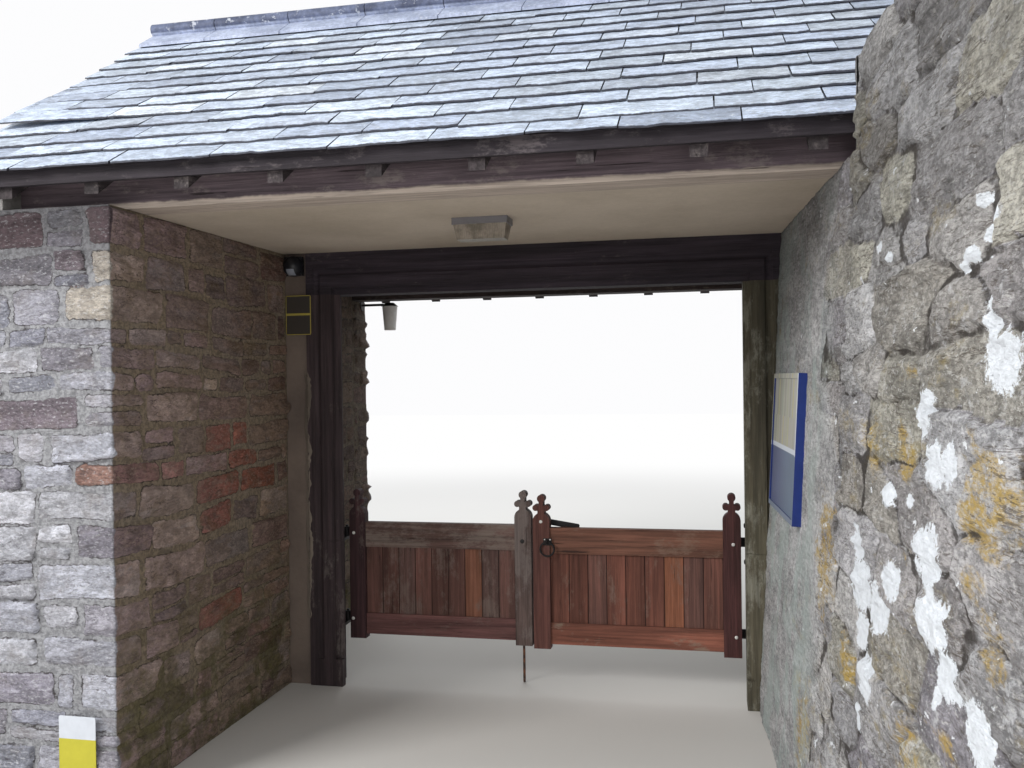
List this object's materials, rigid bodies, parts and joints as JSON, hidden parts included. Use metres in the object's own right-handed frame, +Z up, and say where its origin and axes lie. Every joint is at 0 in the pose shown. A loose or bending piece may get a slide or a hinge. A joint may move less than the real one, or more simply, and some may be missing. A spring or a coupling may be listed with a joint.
{
  "type": "lychgate",
  "caption": "Roofed churchyard gateway with rubble walls, slated roof, moulded timber frame, low boarded gates, latch, drop bolt, lights and notice board.",
  "frame": {"origin": "on the ground, under the middle of the whole footprint (roof and approach wall together)", "axes": "+X to the right seen from the lane, +Y from the lane through the gates to the churchyard, +Z up"},
  "size_m": [4.4, 5.267, 3.7463],
  "materials": {
    "rubble": "lime-mortared rubble, rough",
    "lichen_rubble": "lichened rubble and worn render, rough",
    "plaster": "aged lime plaster, matt",
    "dark_oak": "old dark oak, dry",
    "roof_timber": "dark stained softwood, dry",
    "gate_wood": "red-brown stained hardwood, weathered",
    "slate": "riven blue-grey slate, slight sheen",
    "ridge_clay": "blue-grey fired clay, satin",
    "iron": "black painted iron, slightly rusted",
    "lamp_metal": "dark painted metal, satin",
    "lamp_glass": "cream diffusing plastic, satin",
    "light_grey": "aged grey plastic, dusty",
    "light_lens": "ribbed cloudy plastic, dirty",
    "sensor_black": "black plastic, satin",
    "board_blue": "blue coated frame, satin",
    "board_paper": "papers behind clear sheet"
  },
  "bodies": {
    "gateway": {"left_wall": "rubble", "left_rear_wall": "rubble", "right_wall": "lichen_rubble", "right_rear_wall": "rubble", "approach_wall": "lichen_rubble", "gables": "rubble", "jamb": "plaster", "front_wall_plate": "dark_oak", "rear_wall_plate": "dark_oak", "rafters": "roof_timber", "ridge_board": "roof_timber", "eaves_boards": "roof_timber", "roof_boarding": "roof_timber", "front_slates": "slate", "rear_slates": "slate", "ridge_tiles": "ridge_clay", "ceiling": "plaster", "left_post": "dark_oak", "right_post": "dark_oak", "lintel": "dark_oak", "left_gate_hinge_hooks": "iron", "right_gate_hinge_hooks": "iron", "light_base": "light_grey", "light_lens": "light_lens", "lamp_bracket": "lamp_metal", "lamp_shade": "lamp_glass", "sensor": "sensor_black", "board_frame": "board_blue", "board_panel": "board_paper"},
    "left_gate": {"left_gate_hinge_stile": "gate_wood", "left_gate_meeting_stile": "gate_wood", "left_gate_top_rail": "gate_wood", "left_gate_bottom_rail": "gate_wood", "left_gate_boards": "gate_wood", "left_gate_hinge_bands": "iron", "latch_keeper": "iron", "bolt_guides": "iron"},
    "right_gate": {"right_gate_hinge_stile": "gate_wood", "right_gate_meeting_stile": "gate_wood", "right_gate_top_rail": "gate_wood", "right_gate_bottom_rail": "gate_wood", "right_gate_boards": "gate_wood", "right_gate_hinge_bands": "iron", "latch_bolt": "iron", "ring_plate": "iron"},
    "drop_bolt": {"drop_bolt": "iron"},
    "latch_bar": {"latch_bar": "iron"},
    "ring_handle": {"ring_handle": "iron"}
  },
  "joints": [
    {"name": "left_gate_hinge", "type": "hinge", "parent": "gateway", "child": "left_gate", "pos_m": [-1.152, 0.9915, 0.55], "axis": [0, 0, 1], "range_deg": [0, 95]},
    {"name": "right_gate_hinge", "type": "hinge", "parent": "gateway", "child": "right_gate", "pos_m": [1.1, 0.9915, 0.55], "axis": [0, 0, -1], "range_deg": [0, 95]},
    {"name": "drop_bolt_slide", "type": "slide", "parent": "left_gate", "child": "drop_bolt", "axis": [0, 0, 1], "range_m": [0, 0.15]},
    {"name": "latch_bar_pivot", "type": "hinge", "parent": "right_gate", "child": "latch_bar", "pos_m": [-0.001, 0.998, 0.903], "axis": [0, -1, 0], "range_deg": [0, 200]},
    {"name": "ring_handle_pivot", "type": "hinge", "parent": "right_gate", "child": "ring_handle", "pos_m": [0.034, 0.9165, 0.798], "axis": [-1, 0, 0], "range_deg": [0, 90]}
  ]
}
